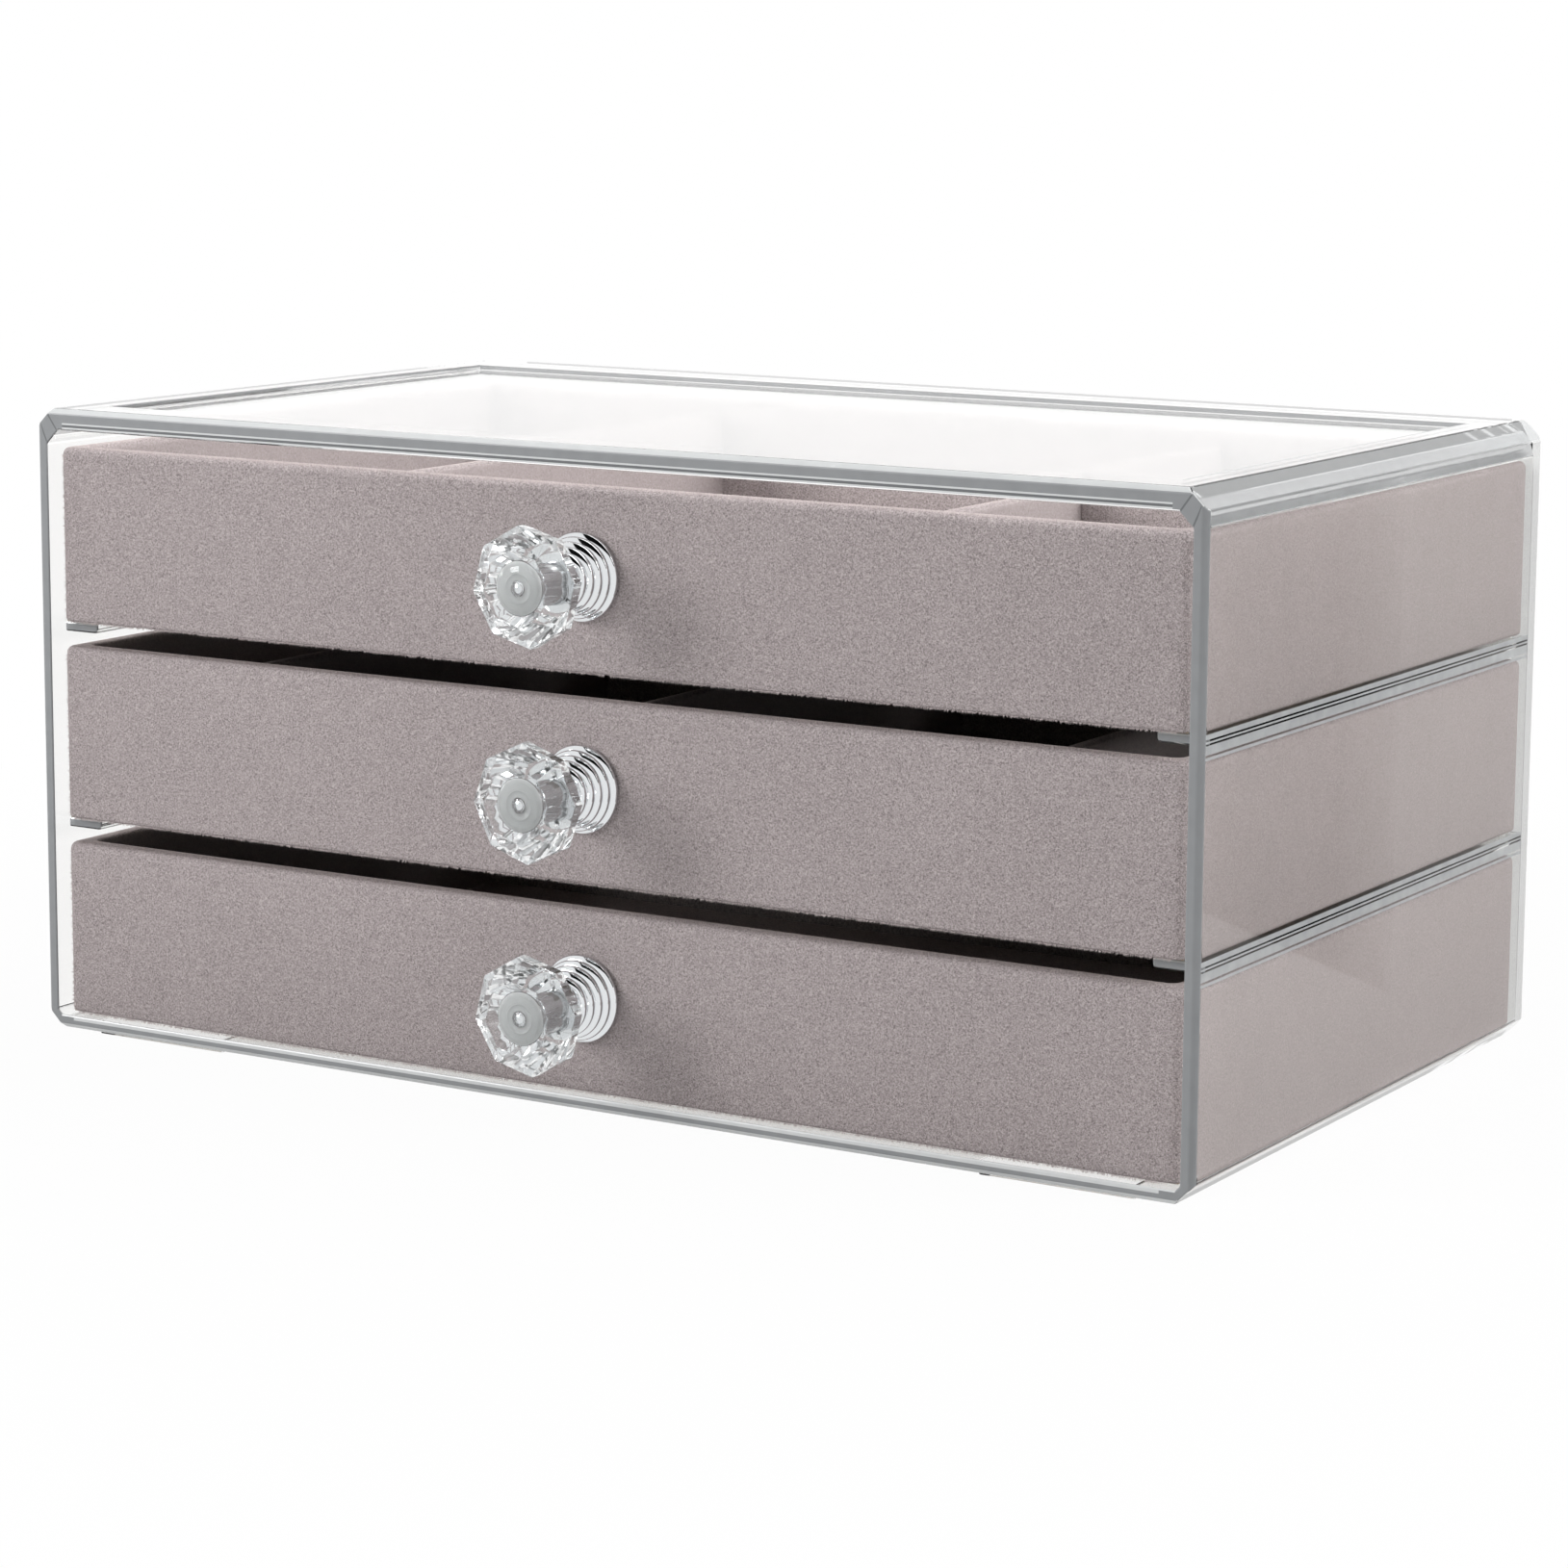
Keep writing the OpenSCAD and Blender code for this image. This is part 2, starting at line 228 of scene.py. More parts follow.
# white seamless paper: plain white where it is seen, matt where it only passes light on
def makeFloor(light):
    paper, tree, output, place = newMaterial("white seamless paper")
    (near, far), (nearGlow, farGlow) = light["glowFrom"], light["floorGlow"]
    fibre = addNode(tree, "TexNoise", {"Scale": perMetre(light["fibre"]), "Detail": 3},
                    {"Vector": place.outputs["Object"]})
    bump = addNode(tree, "Bump", {"Strength": 0.05, "Distance": light["fibreDepth"] * mm}, {"Height": fibre})
    matt = addNode(tree, "BsdfDiffuse", {"Color": linearHex(light["floor"])}, {"Normal": bump})
    glow = addNode(tree, "Emission", {"Color": linearHex(light["glow"]), "Strength": 1.0})
    away = addNode(tree, "VectorMath", {"operation": "LENGTH"}, {0: place.outputs["Object"]})
    fade = addNode(tree, "MapRange",
                   {"From Min": near, "From Max": far, "To Min": nearGlow, "To Max": farGlow},
                   {"Value": away.outputs["Value"]})
    share = addNode(tree, "Math", {"operation": "MULTIPLY"}, {0: seenDirectly(tree), 1: fade})
    mixed = addNode(tree, "MixShader", None, {0: share, 1: matt, 2: glow})
    tree.links.new(mixed.outputs[0], output.inputs["Surface"])
    floor = makeFlat("floor", (0, 0, 0), (0, 0, 1), light["floorSize"])
    floor.data.materials.append(paper)


# felt card that only reflections show, and where through is set also what is seen through the acrylic
def makeCard(name, centre, aim, size, tones, fade, through):
    felt, tree, output, place = newMaterial(f"felt {name}")
    (near, far), (start, end) = (linearHex(code) for code in tones), fade
    axes = addNode(tree, "SeparateXYZ", None, {0: place.outputs["Object"]})
    along = addNode(tree, "MapRange", {"From Min": start, "From Max": end}, {"Value": axes.outputs["X"]})
    tone = addNode(tree, "Mix", {"data_type": "RGBA", 6: near, 7: far}, {0: along})
    matt = addNode(tree, "BsdfDiffuse", None, {"Color": tone.outputs[2]})
    if not through:
        path = addNode(tree, "LightPath")
        gone = addNode(tree, "BsdfTransparent")
        matt = addNode(tree, "MixShader", None, {0: path.outputs["Is Transmission Ray"], 1: matt, 2: gone})
    tree.links.new(matt.outputs[0], output.inputs["Surface"])
    card = makeFlat(name, centre, aim, size)
    card.data.materials.append(felt)
    card.visible_camera = card.visible_shadow = card.visible_diffuse = False


def makeLamp(name, place, aim, size, watts):
    lamp = bpy.data.lights.new(name, "AREA")
    lamp.shape, lamp.size, lamp.size_y, lamp.energy = "RECTANGLE", size[0], size[1], watts
    holder = bpy.data.objects.new(name, lamp)
    holder.location = place
    holder.rotation_mode = "QUATERNION"
    holder.rotation_quaternion = (Vector(aim) - Vector(place)).to_track_quat("-Z", "Y")
    holder.visible_camera = False
    bpy.context.scene.collection.objects.link(holder)


bpy.context.scene.view_settings.view_transform = "Standard"
makeSurround(stageLight)
makeFloor(stageLight)
for name, card in stageLight["cards"].items():
    makeCard(name, *card)
for name, lamp in stageLight["lamps"].items():
    makeLamp(name, *lamp)
print("stage and lamps set")

# pattern sizes and depths in all the looks are in mm
acrylicLook = {"tint": "#FDFDFC", "ior": 1.49, "roughness": (0.015, 0.04), "wave": 22, "waveDepth": 0.02,
               "smear": 9, "smearFrom": (0.35, 0.7)}


# moulded clear acrylic: polished, faintly wavy from the mould, with soft smears
def clearAcrylic(look):
    material, tree, output, place = newMaterial("clear moulded acrylic")
    here = {"Vector": place.outputs["Object"]}
    (clean, smeared), (start, end) = look["roughness"], look["smearFrom"]
    wave = addNode(tree, "TexNoise", {"Scale": perMetre(look["wave"]), "Detail": 1}, here)
    bump = addNode(tree, "Bump", {"Strength": 0.12, "Distance": look["waveDepth"] * mm}, {"Height": wave})
    smear = addNode(tree, "TexNoise", {"Scale": perMetre(look["smear"]), "Detail": 4, "Roughness": 0.6}, here)
    rough = addNode(tree, "MapRange",
                    {"From Min": start, "From Max": end, "To Min": clean, "To Max": smeared},
                    {"Value": smear})
    glass = addNode(tree, "BsdfPrincipled",
                    {"Base Color": linearHex(look["tint"]), "IOR": look["ior"], "Transmission Weight": 1.0},
                    {"Roughness": rough, "Normal": bump})
    clearInShadow(tree, output, glass, look["tint"])
    return material


# finishes of the casing's cut edges, in the order of its material slots after the clear acrylic; their tones
# are painted light and shade for what refraction shows in the clear edges
edgeLooks = {
    # painted shade: the grey stands for the dark drawers seen by refraction through the front edge
    "rim": {"name": "acrylic edge painted grey", "tone": ("#808284", "#8C8E90"),
            "clear": 0, "solid": 1, "roughness": (0.3, 0.42)},
    # painted highlight: pale lines on the bevels and along the front
    "bevel": {"name": "acrylic bevel painted pale", "tone": ("#C4C6C7", "#D2D4D4"),
              "clear": 0, "solid": 1, "roughness": (0.2, 0.3)},
    # painted highlight: the pale tone stands for the bright line that the upper diagonal cuts show
    "cut": {"name": "acrylic cut painted pale", "tone": ("#D2D4D5", "#DEE0E0"),
            "clear": 0.62, "solid": 1, "roughness": (0.05, 0.09)},
    # painted light: pale and partly see-through, for the light that the back edges carry along the acrylic
    "paintedLightBackEdge": {"name": "back edge of the acrylic painted pale", "tone": ("#C4C6C7", "#D2D4D4"),
                 "clear": 0, "solid": 0.35, "roughness": (0.2, 0.3)},
    # painted shade: grey lines that the recess walls show by refraction
    "recess": {"name": "recess wall painted grey", "tone": ("#9A9C9E", "#A8AAAB"),
               "clear": 0.45, "solid": 1, "roughness": (0.06, 0.1)},
    # painted pale bands along the rails, for the light grey band seen there
    "paintedRailBand": {"name": "pale band painted along a rail", "tone": ("#A8AAAC", "#C4C6C8"),
             "clear": 0.15, "solid": 1, "roughness": (0.1, 0.2)},
    # painted shade: a dark line under the top's front band, and the dark lines at the mitres
    "lip": {"name": "shaded acrylic lip", "tone": ("#5E6062", "#686A6C"),
            "clear": 0, "solid": 1, "roughness": (0.3, 0.42)},
}
finish = {name: index + 1 for index, name in enumerate(edgeLooks)}
pleatLook = {"name": "frosted back of the crystal", "tone": ("#F2F4F4", "#FFFFFF"),
             "clear": 0.92, "solid": 1, "roughness": (0.02, 0.05)}
insertLook = {"name": "satin insert in the crystal", "tone": ("#C6C8C8", "#D4D6D6"),
              "clear": 0, "solid": 1, "roughness": (0.4, 0.5)}
tonedLook = {"streak": 3, "shadow": "#E4E4E4"}


# a cut edge of the acrylic, drawn part clear and matt; on the casing its tones are painted light and shade,
# grey, pale or dark, for what refraction shows in the clear edges
def tonedAcrylic(look):
    material, tree, output, place = newMaterial(look["name"])
    dark, pale = (linearHex(code) for code in look["tone"])
    least, most = look["roughness"]
    streak = addNode(tree, "TexNoise", {"Scale": perMetre(tonedLook["streak"]), "Detail": 2},
                     {"Vector": place.outputs["Object"]})
    rough = addNode(tree, "MapRange", {"To Min": least, "To Max": most}, {"Value": streak})
    tone = addNode(tree, "Mix", {"data_type": "RGBA", 6: dark, 7: pale}, {0: streak})
    edge = addNode(tree, "BsdfPrincipled",
                   {"IOR": acrylicLook["ior"], "Transmission Weight": look["clear"], "Alpha": look["solid"]},
                   {"Base Color": tone.outputs[2], "Roughness": rough})
    clearInShadow(tree, output, edge, tonedLook["shadow"])
    return material


velvetLook = {"tone": ("#7A7272", "#BEB4B4"), "toneFrom": (0.345, 0.655), "sheen": "#DCCBC8",
              "grain": 0.27, "pileDepth": 0.12, "flat": 0.4, "flatFrom": (0.5, 1.0),
              "mottle": 5, "nap": 40, "cloud": 0.07, "fibre": ("#B4A9A9", "#D6CCCB")}


# short-pile velvet: matt, speckled by its fibre ends, paler where seen along the pile
def mauveVelvet(look):
    material, tree, output, place = newMaterial("mauve short-pile velvet")
    here = {"Vector": place.outputs["Object"]}
    deep, pile = (linearHex(code) for code in look["tone"])
    (low, high), (start, end) = look["flatFrom"], look["toneFrom"]
    # the grain is drawn coarser than the real fibre ends, so that it shows in the render
    grain = addNode(tree, "TexNoise", {"Scale": perMetre(look["grain"]), "Detail": 1.5, "Roughness": 0.6,
                                       "Distortion": 1.2}, here)
    axes = addNode(tree, "SeparateXYZ", None, {0: place.outputs["Normal"]})
    across = addNode(tree, "Math", {"operation": "ABSOLUTE"}, {0: axes.outputs["X"]})
    # the pile of the drawers' sides is brushed flat
    depth = addNode(tree, "MapRange",
                    {"From Min": low, "From Max": high, "To Min": 1.0, "To Max": look["flat"]},
                    {"Value": across})
    even = addNode(tree, "Mix", {"data_type": "FLOAT", 2: 0.5}, {0: depth, 3: grain})
    mottle = addNode(tree, "TexNoise", {"Scale": perMetre(look["mottle"]), "Detail": 3}, here)
    nap = addNode(tree, "TexNoise", {"Scale": perMetre(look["nap"]), "Detail": 1}, here)
    broad = addNode(tree, "Mix", {"data_type": "FLOAT", 0: 0.5}, {2: mottle, 3: nap})
    both = addNode(tree, "Mix", {"data_type": "FLOAT", 0: look["cloud"]}, {2: even, 3: broad})
    share = addNode(tree, "MapRange", {"From Min": start, "From Max": end}, {"Value": both})
    colour = addNode(tree, "Mix", {"data_type": "RGBA", 6: deep, 7: pile}, {0: share})
    bump = addNode(tree, "Bump", {"Strength": 0.45, "Distance": look["pileDepth"] * mm}, {"Height": even})
    cloth = addNode(tree, "BsdfPrincipled",
                    {"Roughness": 0.95, "Specular IOR Level": 0.1, "Sheen Weight": 0.4,
                     "Sheen Roughness": 0.3, "Sheen Tint": linearHex(look["sheen"])},
                    {"Base Color": colour.outputs[2], "Normal": bump})
    tree.links.new(cloth.outputs[0], output.inputs["Surface"])
    return material


# loose ends of the pile, painted paler than the cloth for the light that comes through them
def velvetFibre(look):
    material, tree, output, place = newMaterial("mauve velvet fibre")
    dark, pale = (linearHex(code) for code in look["fibre"])
    speck = addNode(tree, "TexNoise", {"Scale": perMetre(look["grain"]), "Detail": 2},
                    {"Vector": place.outputs["Object"]})
    tone = addNode(tree, "Mix", {"data_type": "RGBA", 6: dark, 7: pale}, {0: speck})
    hair = addNode(tree, "BsdfPrincipled", {"Roughness": 0.9, "Specular IOR Level": 0.1},
                   {"Base Color": tone.outputs[2]})
    tree.links.new(hair.outputs[0], output.inputs["Surface"])
    return material


# chrome plate over turned zinc: mirror bright, with faint handling smears
chromeLook = {"name": "bright chrome plate", "metal": "#E2E4E6", "roughness": (0.03, 0.09), "grain": 4}
# zinc-plated steel screw: dull silver with a fine uneven plate
zincLook = {"name": "zinc-plated steel", "metal": "#B9BBB8", "roughness": (0.25, 0.42), "grain": 0.8}


def platedMetal(look):
    material, tree, output, place = newMaterial(look["name"])
    least, most = look["roughness"]
    grain = addNode(tree, "TexNoise", {"Scale": perMetre(look["grain"]), "Detail": 3},
                    {"Vector": place.outputs["Object"]})
    rough = addNode(tree, "MapRange", {"To Min": least, "To Max": most}, {"Value": grain})
    metal = addNode(tree, "BsdfPrincipled", {"Base Color": linearHex(look["metal"]), "Metallic": 1.0},
                    {"Roughness": rough})
    tree.links.new(metal.outputs[0], output.inputs["Surface"])
    return material


crystalLook = {"tint": "#F8F9F9", "ior": 1.49, "roughness": (0.02, 0.05), "flow": 6, "flowDepth": 0.02,
               "shadow": "#C8C8C8"}


# clear acrylic moulded as cut crystal: sharp facets, faint flow lines inside
def cutAcrylic(look):
    material, tree, output, place = newMaterial("crystal-cut acrylic")
    least, most = look["roughness"]
    flow = addNode(tree, "TexNoise", {"Scale": perMetre(look["flow"]), "Detail": 2, "Distortion": 0.6},
                   {"Vector": place.outputs["Object"]})
    rough = addNode(tree, "MapRange", {"To Min": least, "To Max": most}, {"Value": flow})
    bump = addNode(tree, "Bump", {"Strength": 0.1, "Distance": look["flowDepth"] * mm}, {"Height": flow})
    glass = addNode(tree, "BsdfPrincipled",
                    {"Base Color": linearHex(look["tint"]), "IOR": look["ior"], "Transmission Weight": 1.0},
                    {"Roughness": rough, "Normal": bump})
    clearInShadow(tree, output, glass, look["shadow"])
    return material


boardLook = {"tone": ("#877A69", "#A99C8B"), "toneFrom": (0.35, 0.65), "fleck": 1.2, "fibre": 0.4,
             "fibreDepth": 0.08}


# pressed grey board: matt, flecked with short fibres
def greyBoard(look):
    material, tree, output, place = newMaterial("pressed grey board")
    here = {"Vector": place.outputs["Object"]}
    dark, pale = (linearHex(code) for code in look["tone"])
    start, end = look["toneFrom"]
    fleck = addNode(tree, "TexNoise", {"Scale": perMetre(look["fleck"]), "Detail": 4, "Roughness": 0.7}, here)
    fibre = addNode(tree, "TexNoise", {"Scale": perMetre(look["fibre"]), "Detail": 2}, here)
    share = addNode(tree, "MapRange", {"From Min": start, "From Max": end}, {"Value": fleck})
    colour = addNode(tree, "Mix", {"data_type": "RGBA", 6: dark, 7: pale}, {0: share})
    bump = addNode(tree, "Bump", {"Strength": 0.4, "Distance": look["fibreDepth"] * mm}, {"Height": fibre})
    card = addNode(tree, "BsdfPrincipled", {"Roughness": 0.92, "Specular IOR Level": 0.2},
                   {"Base Color": colour.outputs[2], "Normal": bump})
    tree.links.new(card.outputs[0], output.inputs["Surface"])
    return material


acrylic = clearAcrylic(acrylicLook)
edges = [tonedAcrylic(look) for look in edgeLooks.values()]
velvet, fibre, chrome = mauveVelvet(velvetLook), velvetFibre(velvetLook), platedMetal(chromeLook)
crystal, insert, pleat = cutAcrylic(crystalLook), tonedAcrylic(insertLook), tonedAcrylic(pleatLook)
board, zinc = greyBoard(boardLook), platedMetal(zincLook)
for level in levels:
    for part in ("front", "back", "left", "right", "base"):
        nodes[f"{level}_{part}_board"].data.materials.clear()
        nodes[f"{level}_{part}_board"].data.materials.append(board)
    nodes[f"{level}_knob_screw"].data.materials.clear()
    nodes[f"{level}_knob_screw"].data.materials.append(zinc)
print("materials made")

# clear casing and rails: the CAD shapes with the small rounds that moulding leaves on every edge, in mm
casingShape = {
    "edgeRound": 0.25, "steps": 2, "rimDepth": 1.2, "backBand": 6.0, "wall": 2.4, "floorTop": 3,
    "postCut": 0.3, "postDepth": 2, "postLength": 50,
    # lines of painted light and shade along the front: pale, dark and pale under the top edge, and pale above
    # the floor
    "paintedTopLines": ((2.5, 2.8, "bevel"), (2.8, 3.25, "lip"), (3.25, 3.6, "bevel")),  # from, to, finish
    "paintedFloorLine": (2.1, 2.7, "bevel"),
    "mitre": (((4.9, 3.8), (2.7, 0.8)), ((0.8, 2.7), (2.4, 6.3))),  # ends, in from the side and the top
    "mitreLine": 0.3, "mitreReach": 60,
    # the recess walls and a strip on the top beside the recess take a grey finish of painted shade
    "recessDepth": 1.0, "recessRound": 0.1, "recessLine": 0.5, "recessRims": (9, 9, 13), "paintedRecessMark": 0.9,
    "recessInset": 5,
    "railRound": 0.3, "railTurn": 40, "railGap": 0.03,  # the turn in degrees
    "paintedRailBands": ((0.0, 0.19), (0.26, 0.33), (0.40, 0.73), (0.81, 0.92)),  # shares of the gap at a rail
    "gapOver": 0.3, "gapUnder": 2.4, "leftRailBandFrom": 25,
}
slant = {"steep": 0.8, "lean": 0.35, "tilt": 0.3, "slight": 0.15, "touch": 0.05, "half": 0.5,
         "diagonal": 0.707, "near": 0.03, "upright": 0.1}  # parts of a face's normal along an axis


# the front edge takes the grey finish, painted shade for the dark inside seen through it by refraction, and
# its bevels a paler one, a painted highlight
def paintFrontEdge(bm, frontY, shape):
    bm.normal_update()
    for face in bm.faces:
        middle, normal = face.calc_center_median(), face.normal
        least = slant["touch"] if abs(normal.x) > slant["steep"] else slant["lean"]
        shown = middle.z < shape["floorTop"] * mm or normal.z > -slant["tilt"]
        if middle.y < frontY + shape["rimDepth"] * mm and normal.y < -least and shown:
            face.material_index = finish["bevel" if abs(normal.z) > slant["tilt"] else "rim"]


# cuts only these faces by a plane, and gives all their parts
def cutFaces(bm, faces, point, normal):
    geom = set(faces) | {e for f in faces for e in f.edges} | {v for f in faces for v in f.verts}
    parts = bmesh.ops.bisect_plane(bm, geom=list(geom), plane_co=point, plane_no=normal)["geom"]
    return kindOf(parts, bmesh.types.BMFace)


# pale bands painted along the rails, on the inside of both walls, for the light grey band seen there
def paintRailBands(bm, shape, wallX, frontY):
    for side, name in ((-1, "left"), (1, "right")):
        start = frontY + shape["leftRailBandFrom"] * mm if side < 0 else frontY
        for rail in ("upper", "lower"):
            lo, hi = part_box(f"rail_{rail}_{name}")
            top, bottom = hi.z + shape["gapOver"] * mm, lo.z - shape["gapUnder"] * mm
            for band in shape["paintedRailBands"]:
                upper, lower = (top + (bottom - top) * share for share in band)
                wall = [f for f in bm.faces if f.normal.x * side < -faceOn
                        and abs(f.calc_center_median().x - side * wallX) < 10 * flush]
                for z in (upper, lower):
                    wall = cutFaces(bm, wall, (0, 0, z), (0, 0, 1))
                if side < 0:
                    wall = cutFaces(bm, wall, (0, start, 0), (0, 1, 0))
                for face in wall:
                    middle = face.calc_center_median()
                    if lower < middle.z < upper and middle.y > start:
                        face.material_index = finish["paintedRailBand"]


# flat faces of the front edge
def frontFaces(bm, frontY):
    return [f for f in bm.faces if f.normal.y < -faceOn and f.calc_center_median().y < frontY + flush]


# painted light and dark lines along the front edges, standing for those that the polished lips draw
def paintFrontLines(bm, shape, lo, hi):
    lines = [(hi.z - end * mm, hi.z - start * mm, look) for start, end, look in shape["paintedTopLines"]]
    start, end, look = shape["paintedFloorLine"]
    for lower, upper, look in lines + [(lo.z + start * mm, lo.z + end * mm, look)]:
        front = [f for f in frontFaces(bm, lo.y)
                 if abs(f.calc_center_median().x) < hi.x - shape["backBand"] * mm]
        for z in (lower, upper):
            front = cutFaces(bm, front, (0, 0, z), (0, 0, 1))
        for face in front:
            if lower < face.calc_center_median().z < upper:
                face.material_index = finish[look]


# each upper corner of the front is mitred: a short piece between two dark lines
def markMitres(bm, shape, lo, hi):
    for side in (-1, 1):
        front = [f for f in frontFaces(bm, lo.y)
                 if f.calc_center_median().z > hi.z - shape["mitreReach"] * mm]
        ends = []
        for line in shape["mitre"]:
            point, along = (Vector((side * (hi.x - x * mm), 0, hi.z - z * mm)) for x, z in line)
            inward = (along - point).cross(Vector((0, -side, 0))).normalized()
            ends.append((point, inward))
            for step in (0, shape["mitreLine"] * mm):
                front = cutFaces(bm, front, point + inward * step, inward)
        for face in front:
            middle = face.calc_center_median()
            inside = min((middle - point).dot(inward) for point, inward in ends)
            if inside > 0 and middle.x * side > 0:
                face.material_index = finish["lip" if inside < shape["mitreLine"] * mm else "rim"]


# how far a place is in from the casing's four sides
def insetOf(place, lo, hi):
    return min(place.x - lo.x, hi.x - place.x, place.y - lo.y, hi.y - place.y)


# finishes of the back edges, the recess in the top and the diagonal cuts, painted light and shade
def markCuts(bm, shape, lo, hi):
    inset, depth, line = (shape[k] * mm for k in ("recessInset", "recessDepth", "recessLine"))
    band, rim, edgeRound = (shape[k] * mm for k in ("backBand", "rimDepth", "edgeRound"))
    walls = [f for f in bm.faces if abs(f.normal.z) < slant["upright"]
             and f.calc_center_median().z > hi.z - depth and insetOf(f.calc_center_median(), lo, hi) > inset]
    cutFaces(bm, [f for f in walls if f.normal.x > slant["half"]], (0, 0, hi.z - line), (0, 0, 1))
    rimX, rimFront, rimBack = (width * mm for width in shape["recessRims"])
    markLo = Vector((hi.x - rimX, lo.y + rimFront, 0))
    markHi = Vector((hi.x - rimX + shape["paintedRecessMark"] * mm, hi.y - rimBack, 0))
    top = [f for f in bm.faces if f.normal.z > faceOn and f.calc_center_median().z > hi.z - flush]
    for corner in (markLo, markHi):
        for way in (Vector((1, 0, 0)), Vector((0, 1, 0))):
            top = cutFaces(bm, top, corner, way)
    # painted shade in grey on the back corner rounds, the recess walls and the undersides of the upper cuts;
    # painted light on the back edges and the upper cuts; the grey strip on the top beside the recess is a
    # painted image of the recess wall
    for face in bm.faces:
        middle, normal = face.calc_center_median(), face.normal
        x, y, z = normal
        atBack = y > slant["lean"] and middle.y > hi.y - rim
        cornerRound = min(y, abs(x)) > slant["slight"] and abs(z) < slant["tilt"]
        onTop = z > faceOn and middle.z > hi.z - flush
        onPaintedMark = markLo.x < middle.x < markHi.x and markLo.y < middle.y < markHi.y
        inRecess = insetOf(middle, lo, hi) > inset and abs(z) < slant["tilt"] and middle.z > hi.z - depth
        diagonal = all(abs(abs(part) - slant["diagonal"]) < slant["near"] for part in (x, z))
        if cornerRound and middle.y > hi.y - edgeRound:
            face.material_index = finish["rim"]
        elif atBack and (abs(middle.x) > hi.x - band or z > slant["lean"]):
            face.material_index = finish["paintedLightBackEdge"]
        elif onTop and onPaintedMark:
            face.material_index = finish["recess"]
        elif inRecess and (x < slant["half"] or middle.z > hi.z - line):
            face.material_index = finish["recess"]
        elif diagonal and middle.z > (lo.z + hi.z) / 2 and (z > 0 or middle.x > 0):
            face.material_index = finish["cut" if z > 0 else "recess"]


def makeCasing(shape):
    lo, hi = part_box("casing")
    bm = copyOfNode("casing")
    posts = [e for e in bm.edges if e.calc_length() > shape["postLength"] * mm and all(
        abs(v.co.x) > hi.x - tiny and v.co.y < lo.y + shape["postDepth"] * mm for v in e.verts)]
    bevelled(bm, posts, shape["postCut"], 1, clamp_overlap=True)
    low, inset = hi.z - 1.1 * shape["recessDepth"] * mm, shape["recessInset"] * mm  # just under the recess
    recess = [e for e in bm.edges if all(v.co.z > low and insetOf(v.co, lo, hi) > inset for v in e.verts)]
    inRecess = set(recess)
    softenEdges(bm, shape["edgeRound"], shape["steps"], among=[e for e in bm.edges if e not in inRecess])
    softenEdges(bm, shape["recessRound"], 1, among=[e for e in recess if e.is_valid])
    for side in (-1, 1):  # the ends of the side walls show at the back as two upright bands
        cut = side * (hi.x - shape["backBand"] * mm)
        bmesh.ops.bisect_plane(bm, geom=bm.verts[:] + bm.edges[:] + bm.faces[:],
                               plane_co=(cut, 0, 0), plane_no=(1, 0, 0))
    paintFrontEdge(bm, lo.y, shape)
    markCuts(bm, shape, lo, hi)
    paintFrontLines(bm, shape, lo, hi)
    markMitres(bm, shape, lo, hi)
    paintRailBands(bm, shape, hi.x - shape["wall"] * mm, lo.y)
    shell = makePiece("casing_shell", bm, acrylic, "casing", ["casing"])
    for edge in edges:
        shell.data.materials.append(edge)


def makeRail(name, shape):
    lo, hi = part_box(name)
    bm = copyOfNode(name)
    shrink = [1 - 2 * shape["railGap"] * mm / (hi - lo)[i] for i in range(3)]
    bmesh.ops.scale(bm, vec=shrink, space=Matrix.Translation(-(lo + hi) / 2), verts=bm.verts)
    softenEdges(bm, shape["railRound"], shape["steps"], shape["railTurn"])
    paintFrontEdge(bm, lo.y, shape)
    strip = makePiece(f"{name}_strip", bm, acrylic, "casing", [name])
    for edge in edges[:2]:
        strip.data.materials.append(edge)


makeCasing(casingShape)
for name in ("rail_upper_left", "rail_upper_right", "rail_lower_left", "rail_lower_right"):
    makeRail(name, casingShape)
print("casing and rails made")

# drawers: velvet drawn over the boards, laid on the floor and wrapped round the dividers, in mm
drawerShape = {"cornerRound": 2.3, "backRound": 1.5, "innerRound": 1.0, "cornerSteps": 6,
               "edgeRound": 1.3, "steps": 5, "skin": 0.6, "footRound": 0.7, "footSteps": 3, "fold": 0.8,
               "overEdge": 4.3, "liningRound": 0.3, "dividerRound": 1.2, "stripSteps": 4,
               "smooth": 50}  # degrees


# closed loop of edges: a rectangle with round corners
def roundedLoop(bm, lo, hi, z, frontRadius, backRadius, steps):
    made = bmesh.ops.create_grid(bm, x_segments=1, y_segments=1, size=0.5)["verts"]
    bmesh.ops.scale(bm, vec=(hi.x - lo.x, hi.y - lo.y, 1), verts=made)
    bmesh.ops.translate(bm, vec=((lo.x + hi.x) / 2, (lo.y + hi.y) / 2, z), verts=made)
    face = made[0].link_faces[0]
    others = set(bm.faces) - {face}
    ends = [v for v in made if v.co.y < 0], [v for v in made if v.co.y > 0]
    for corners, radius in zip(ends, (frontRadius, backRadius)):
        bevelled(bm, corners, radius, steps, "VERTICES")
    face = next(f for f in bm.faces if f not in others)
    loop = list(face.edges)
    bmesh.ops.delete(bm, geom=[face], context="FACES_ONLY")
    return loop


